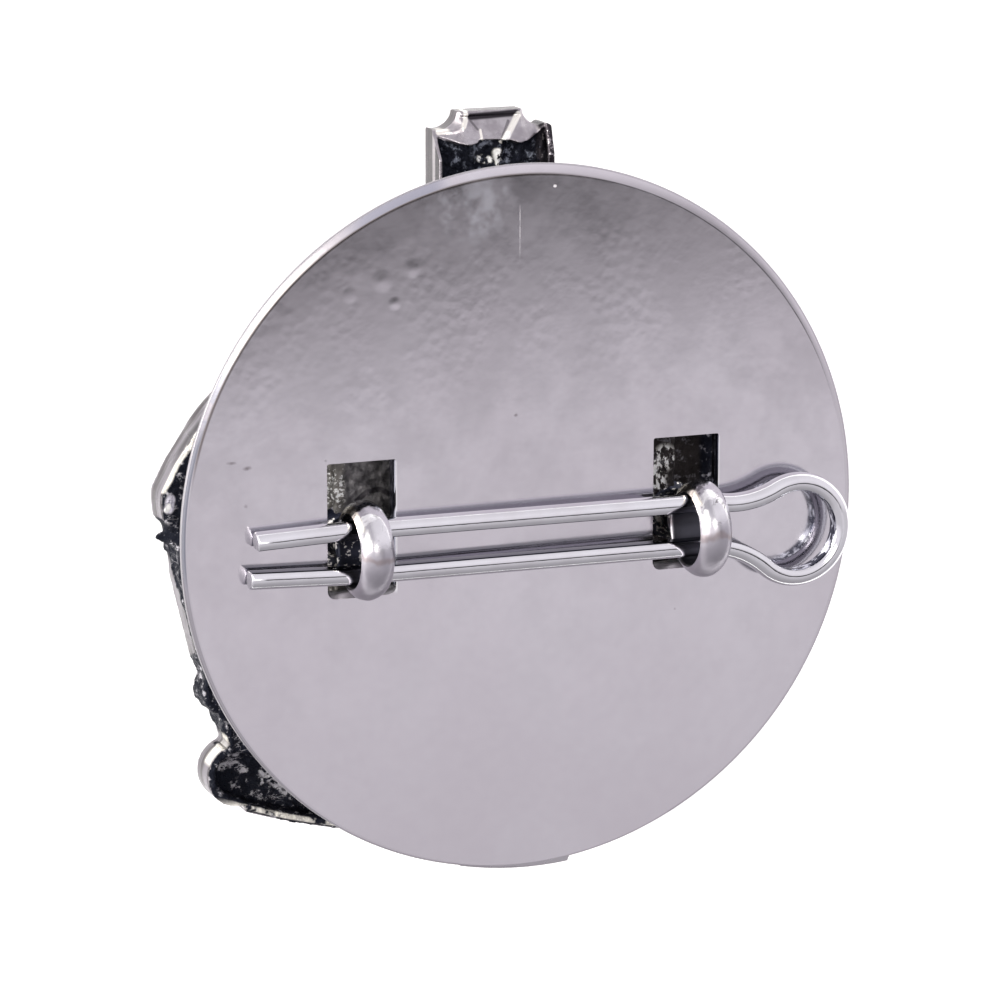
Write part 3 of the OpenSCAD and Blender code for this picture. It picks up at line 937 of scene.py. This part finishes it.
def bright_loop():
    """Thick bright metal, satin and painted darker below, painted lighter and mottled with stains above, with a painted
    brownish reflection between, painted shade on the side facing left, a painted highlight on its upper left, and
    painted shade in its holes and on its foot, with painted glints.
    """
    m, bsdf, at = metal("bright_loop", (0.78, 0.77, 0.8), 0.14)
    x, y, z = split(at)
    sideways = facing(at)[0]
    left, right = span(x, 1, 0), span(x, 0, 1)
    high = span(y, -0.6, 0.6)
    cracks = span(grain(stretched(at, (1.4, 1.0, 1.0)), 1.5, 5, 0.7), 0.57, 0.64)
    stain = cracks * high * (right * 0.65 + 0.35)
    # painted highlight: cream on the left-facing side near the top
    cream_highlight = span(sideways, -0.6, -0.75) * span(y, 0.7, 1.0) * span(y, 2.4, 2.0) * 0.9
    # painted shade on the side that faces left
    shade = span(sideways, -0.15, -0.4) * high * 0.55
    wave = (grain(at, 0.7) - 0.5) * 1.6
    # painted reflection: a brownish band across the front, below the middle
    brown_reflection = span(abs(y + 0.85 + wave), 0.3, 0.04) * 0.5
    # painted light and shade: lighter above, darker below
    colour = mix(high, (0.46, 0.44, 0.485), (0.8, 0.79, 0.82))
    for mask, tone in ((brown_reflection, (0.3, 0.23, 0.22)), (stain, (0.1, 0.09, 0.09)),
                       (shade, (0.3, 0.29, 0.32)), (cream_highlight, (1, 0.94, 0.8))):
        colour = mix(mask, colour, tone)
    # painted shade inside each hole
    for (_, cy, cz), side in zip(LOOPS, (left, right)):
        out = vector("DISTANCE", stretched(at, (0, 1, 1)), (0, cy, cz))
        colour = mix(span(out, HOLE_R + 0.06, HOLE_R) * side * 0.9, colour, (0.04, 0.042, 0.055))
    # painted shade on the foot below the plate, with painted glints
    sparks = span(grain(at, 2.2, 4, 0.6), 0.54, 0.6)
    foot = mix(sparks, (0.03, 0.032, 0.045), (0.85, 0.82, 0.78))
    connect(bsdf.inputs["Base Color"], mix(span(z, 0.1, -0.3), colour, foot))
    connect(bsdf.inputs["Roughness"], span(grain(at, 1.2, 4), 0.3, 0.7, 0.32, 0.4) - high * 0.2)
    bump(bsdf, [(grain(at, 0.9, 2) * (high + 0.15), 0.07), (grain(at, 3.0, 3), 0.008)])
    return m


# Cast metal: paths of its marks, painted highlights and painted shadows in the casting's own x and y, mirrored for
# those named LEAF, HOOK and PATCHES

LEAF_RIDGE = [(17.4, 6.4), (18.3, 5.4), (19.42, 3.86), (20.2, 2.5)]
LEAF_SHADOW = [(px + 0.28, py + 0.1) for px, py in LEAF_RIDGE[:3]]
LEAF_BEAD = [(19.75, 1.95), (19.85, 1.35)]
LEAF_GLINT = [(19.97, 1.3), (19.86, 1.55)]
HOOK_SHINE = [(16.8, -12.9), (17.4, -13.9)]
PATCHES = [
    [(16.3, -13.7), (15.6, -14.0)],
    [(16.5, -14.8), (15.8, -14.6), (15.1, -15.1)],
    [(13.9, -15.3), (13.0, -16.3), (12.1, -17.0)],
]
LEFT_PAD_X = -8.3
RIGHT_PAD_SHINE = [(10.55, 2.5), (9.95, 1.7), (9.9, 0.5)]
LOOP_SHADOW = [(-9.0, 1.35), (-8.3, 1.87), (-7.5, 1.9), (-7.0, 1.6)]
RIGHT_WALL = [(3.3, 22.5), (3.35, 20.2)]
CROSS_WALL = [
    # height, tone of the cross's outer walls
    (-5.1, 0.13), (-4.5, 0.1), (-4.2, 0.12), (-3.9, 0.1), (-3.75, 0.5), (-3.45, 0.5), (-3.3, 0.05), (-2.7, 0.08),
]
CROSS_DARK = [
    # points, width and strength of the painted shade lines on the cross's back
    ([(-1.25, 23.2), (0.0, 23.24), (1.6, 23.3)], 0.26, 1.0),
    ([(1.04, 22.85), (0.5, 21.95)], 0.12, 0.55),
    ([(-1.3, 23.0), (-0.95, 22.5)], 0.09, 0.55),
]
CROSS_BLOB = [(0.75, 21.95), (0.9, 22.15)]
CROSS_GLINTS = [[(-0.6, 20.72), (-0.1, 20.6)], [(0.33, 21.1), (0.48, 20.4)]]
RIDGE_WIDTHS = (0.18, 0.24, 0.1)

Place = namedtuple("Place", "at own x y z up both flat top pad streaks")


def casting_place(at):
    """Where a point of the casting is: in its own frame, mirrored (both), seen flat, and on its cross or left pad."""
    own = vector("SUBTRACT", at, (CASTING_X, 0, 0))
    x, y, z = split(own)
    return Place(
        at=at, own=own, x=x, y=y, z=z, up=facing(at)[2], both=joined(abs(x), y), flat=joined(x, y),
        top=span(y, 16.0, 17.0), pad=span(abs(x - LEFT_PAD_X), 3.4, 2.9) * span(z, -3.3, -3.1),
        streaks=grain(stretched(own, (0.12, 0.12, 1.1)), 1.3, 4, 0.6))


def recess_colour(p, strip):
    """Near black with light flecks, veins and patches, and grey on the left pad."""
    slots = span(abs(abs(p.x) - 10.6), 2.8, 2.5) * span(abs(p.y), 5.2, 4.8)
    flecks = span(grain(p.at, 1.7, 6, 0.68), p.top * -0.03 + 0.55, 0.66) * (slots * -0.7 + 1.0)
    veins = abs(grain(stretched(p.at, (0.8, 1.5, 1)), 0.8, 4, 0.6) - 0.5)
    veins = span(veins, 0.016, 0.004) * span(grain(p.at, 0.35), 0.5, 0.62) * (1.0 - most(slots, p.top)) * 0.6
    patches = most(*(near_path(p.both, points, 0.34) for points in PATCHES))
    patches = patches * span(grain(stretched(p.at, (1, 1.6, 1)), 1.9, 5, 0.7), 0.47, 0.55)
    light = mix(p.top, (0.6, 0.59, 0.63), (0.36, 0.39, 0.47))
    dark = mix(slots, (0.02, 0.022, 0.032), (0.04, 0.035, 0.034))
    grey = mix(span(grain(p.at, 1.1, 5, 0.6), 0.4, 0.65), (0.12, 0.115, 0.12), (0.26, 0.25, 0.255))
    deep = mix(most(patches, flecks, veins), dark, light)
    return mix(strip, mix(p.pad, deep, grey), (0.2, 0.19, 0.18))


def skin_colour(p, cavity):
    """Bright in front, with dark corners, mauve grey with long streaks on the sides, banded on the cross."""
    front = mix(span(grain(p.at, 0.4), 0.3, 0.7), (0.62, 0.60, 0.63), (0.72, 0.71, 0.73))
    front = mix(span(cavity, 0.02, 0.16, 0.0, 0.8), front, (0.06, 0.06, 0.07))
    side = mix(span(p.streaks, 0.38, 0.6), (0.09, 0.08, 0.085), (0.28, 0.262, 0.29))
    side = mix(p.top * 0.85, side, tone_ramp(p.z, CROSS_WALL, 0.4, 2.1, (1, 0.94, 0.97)))
    behind = mix(span(grain(p.at, 1.2, 4, 0.6), 0.35, 0.65), (0.36, 0.335, 0.36), (0.5, 0.475, 0.5))
    skin = mix(span(p.up, -0.8, -0.3) * span(p.z, -8.4, -7.4), front, side)
    return mix(span(p.up, 0.3, 0.7), skin, behind)


def dark_lines(p):
    """Mask of the painted shadow beside the leaf, the painted shade lines on the cross, its darker right wall, and a
    painted shadow arc above the left loop.
    """
    lines = near_path(p.both, LEAF_SHADOW, 0.4) * span(p.z, RIM_Z - 1.6, RIM_Z - 1.0) * span(p.y, 2.8, 5.0)
    for points, width, amount in CROSS_DARK:
        lines = most(lines, near_path(p.flat, points, width) * span(p.up, 0.1, 0.4) * amount)
    dark_right_wall = near_path(p.flat, RIGHT_WALL, 0.5) * span(grain(p.at, 2.6, 4, 0.65), 0.62, 0.54)
    return most(lines, near_path(p.flat, LOOP_SHADOW, 0.2) * p.pad * 0.85, dark_right_wall)


def painted_highlight_lines(p, rim):
    """Mask of the painted highlights: on the leaf's ridge, the hook's shine, the low rim and the ridges of the cross.
    """
    broken = most(span(p.y, 5.0, 4.4), span(grain(p.at, 2.4, 2), 0.46, 0.52))
    leaf = near_path(p.both, LEAF_RIDGE, 0.3) * rim * broken
    hook = near_path(p.both, HOOK_SHINE, 0.6) * span(p.up, 0.6, 0.4) * span(p.z, -5.3, -5.0)
    hook = hook * span(p.streaks, 0.4, 0.5, 0.35, 0.9)
    far = vector("DISTANCE", p.flat, (0, BAND_Y, 0))
    low = span(abs(far - (BAND_R - 0.32)), 0.2, 0.1) * span(p.y, -16.2, -16.9) * span(p.z, -4.6, -4.3)
    low = low * span(grain(p.at, 1.4, 3), 0.36, 0.46) * 0.8
    beyond, before = span(p.x, -2.0, -1.75), span(p.x, -2.45, -2.7)
    unbroken = beyond.math("ADD", beyond, before, clamp=True)
    ridges = [near_path(p.flat, points, width) * span(p.z, -5.0, -4.4) * unbroken
              for points, width in zip(RIDGES, RIDGE_WIDTHS)]
    return most(leaf, hook, low, *ridges)


def white_spots(p, rim, strip):
    """Mask of the sparkles: on the cross, on the left pad's strip, on the right pad and on the leaf."""
    glints = most(*(near_path(p.flat, points, 0.3) for points in CROSS_GLINTS))
    glints = glints * span(grain(p.at, 2.2, 4, 0.6), 0.46, 0.52)
    sparks = span(abs(p.y - 2.0), 1.1, 0.5) * 0.1 + 0.36
    sparks = span(grain(p.at, 4.2, 4, 0.7) + sparks, 0.97, 1.0) * strip
    right_pad = near_path(p.flat, RIGHT_PAD_SHINE, 0.9) * span(p.z, -3.1, -2.9)
    right_pad = right_pad * span(grain(stretched(p.at, (1.6, 0.9, 1)), 1.9, 5, 0.65), 0.49, 0.54)
    leaf = near_path(p.both, LEAF_GLINT, 0.2) * rim
    return most(glints, near_path(p.flat, CROSS_BLOB, 0.24), sparks, right_pad, leaf)


def cast_metal():
    """Bright skin, duller sides, and dark rough recesses with light flecks on the back."""
    m, bsdf, at = metal("cast_metal", (0.72, 0.71, 0.73), 0.16)
    recess, cavity = attribute(at, "recess"), attribute(at, "cavity")
    p = casting_place(at)
    rim = span(p.z, RIM_Z - 0.5, RIM_Z - 0.25)
    strip = span(p.x, -9.6, -9.9) * span(p.x, -11.6, -11.2) * span(p.y, 4.6, 3.4) * p.pad
    white = white_spots(p, rim, strip)
    colour = mix(span(recess, 0.3, 0.7), skin_colour(p, cavity), recess_colour(p, strip))
    colour = mix(near_path(p.both, LEAF_BEAD, 0.36) * rim, colour, (0.75, 0.73, 0.82))
    # painted shadows and painted shade lines
    colour = mix(dark_lines(p), colour, (0.04, 0.036, 0.042))
    # painted highlights in cream, and the white sparkles
    colour = mix(most(painted_highlight_lines(p, rim), white), colour, mix(white, (1, 0.97, 0.9), (1, 1, 1)))
    connect(bsdf.inputs["Base Color"], colour)
    connect(bsdf.inputs["Metallic"], white * -0.85 + 1.0)
    smooth = span(grain(at, 0.8, 4), 0.3, 0.7, 0.12, 0.24)
    coarse = span(grain(at, 2.5, 4), 0.35, 0.65, 0.25, 0.5)
    rough = (1.0 - recess) * smooth + recess * coarse + span(p.up, -0.5, 0.0) * 0.12
    connect(bsdf.inputs["Roughness"], rough)
    pits = grain(at, 2.6, 5, 0.65) * recess * (1.0 - p.pad * 0.7)
    bump(bsdf, [(pits, 0.28), (grain(at, 0.7, 3), 0.02), (grain(at, 4.0, 3), 0.004)])
    return m


# Camera and light

CAMERA_ROLL = 0.17
CAMERA_BACK = (-0.36112, 0.22459, 0.90507)
CAMERA_FAR = 0.2560
CAMERA_SENSOR = 36
CAMERA_LENS = 4.3826 * CAMERA_SENSOR
CAMERA_SHIFT = (-0.0252, 0.0203)


def make_camera():
    """The photo's camera, aimed at the plate's middle from above its back."""
    back = Vector(CAMERA_BACK).normalized()
    right = Vector((0, 1, 0)).cross(back).normalized()
    up = back.cross(right)
    roll = math.radians(CAMERA_ROLL)
    right, up = right * math.cos(roll) + up * math.sin(roll), up * math.cos(roll) - right * math.sin(roll)
    data = bpy.data.cameras.new("camera")
    data.sensor_width = CAMERA_SENSOR
    data.lens = CAMERA_LENS
    data.shift_x, data.shift_y = CAMERA_SHIFT
    data.clip_start = 0.01
    data.clip_end = 20
    cam = bpy.data.objects.new("camera", data)
    bpy.context.scene.collection.objects.link(cam)
    cam.location = Vector((0, 0, PLATE_T)) * MM + back * CAMERA_FAR
    cam.rotation_mode = "QUATERNION"
    cam.rotation_quaternion = Matrix((right, up, back)).transposed().to_quaternion()
    bpy.context.scene.camera = cam


SKY_TINT = (1, 0.965, 1.02)
SKY = [
    # height of the direction along Y, brightness
    (-1, 0.34), (-0.6, 0.5), (-0.45, 0.64), (-0.3, 0.66), (-0.16, 0.66), (-0.08, 0.86), (0, 0.95), (0.5, 0.95),
    (1, 0.8),
]
SHADE = [
    # the same, for the part of the sky that the flat plate mirrors
    (-1, 0.34), (-0.6, 0.5), (-0.45, 0.6), (-0.3, 0.63), (-0.25, 0.74), (-0.21, 0.77), (-0.19, 0.74), (-0.182, 0.6),
    (-0.174, 0.43), (-0.165, 0.25), (-0.156, 0.11), (-0.147, 0.03), (-0.06, 0.03), (0.0, 0.4), (0.1, 0.85), (0.5, 0.95),
    (1, 0.8),
]
LAMPS = [
    # direction, cosines where it is full and where it ends, brightness, colour
    ((-0.21, 0.22, 0.953), 0.992, 0.980, 6.0, (1.0, 0.97, 0.9)),
    ((-1.0, 0.03, 0.06), 0.985, 0.96, 6.0, (1.0, 0.98, 0.93)),
    ((-0.777, 0.463, 0.424), 0.985, 0.94, 2.5, (1.0, 0.98, 0.93)),
    ((-0.84, 0.246, 0.483), 0.988, 0.972, 14.0, (1.0, 0.97, 0.9)),
    ((0.085, 0.012, 0.99), 0.999, 0.994, 3.0, (1.0, 0.97, 0.9)),
]


def make_world():
    """A soft grey sky that darkens where the plate's upper half mirrors it, with a few small lamps."""
    world = bpy.data.worlds.new("studio")
    world.use_nodes = True
    bpy.context.scene.world = world
    way = node(world.node_tree, "ShaderNodeTexCoord", (), "Generated")
    dx, dy, dz = split(way)
    height = dy + (dx - 0.36) * -0.17
    mirrored = span(dx, 0.17, 0.27) * span(dx, 0.66, 0.52) * span(dz, 0.2, 0.5)
    sky = mix(mirrored, *(tone_ramp(height, table, 0.5, 0.5, SKY_TINT) for table in (SKY, SHADE)))
    for towards, full, end, power, colour in LAMPS:
        near = span(vector("DOT_PRODUCT", way, Vector(towards).normalized()), end, full)
        sky = mix(near, sky, [power * c for c in colour])
    connect(world.node_tree.nodes["Background"].inputs["Color"], sky)


def make_floor():
    """A wide white floor at the badge's lowest point, lit a little from within."""
    size = 3000
    obj = link("floor", [(-size, -size, FACE_Z), (size, -size, FACE_Z), (size, size, FACE_Z), (-size, size, FACE_Z)],
               [(0, 1, 2, 3)], smooth=False)
    m = bpy.data.materials.new("floor_white")
    m.use_nodes = True
    bsdf = m.node_tree.nodes["Principled BSDF"]
    for key, value in (("Base Color", (0.9, 0.9, 0.9)), ("Roughness", 0.9),
                       ("Emission Color", (1, 1, 1)), ("Emission Strength", 0.45)):
        connect(bsdf.inputs[key], value)
    obj.data.materials.append(m)


def dress(obj, mat, body, slot, *nodes):
    """Gives a piece its material and its body, and hides the CAD nodes that it stands for; its slot is not used."""
    obj.data.materials.clear()
    obj.data.materials.append(mat)
    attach(obj, body)
    if nodes:
        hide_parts(*nodes)


make_camera()
make_world()
make_floor()
bpy.context.scene.view_settings.view_transform = "Standard"

dress(make_plate(), polished_plate(), "plate", "plate_metal", "back_plate")
dress(make_pin(), bright_wire(), "pin", "wire_metal", "split_pin")
dress(make_loops(), bright_loop(), "crown", "cast_metal")
casting_metal = cast_metal()
dress(make_cross(), casting_metal, "crown", "cast_metal")
dress(make_casting(), casting_metal, "crown", "cast_metal", "crown")
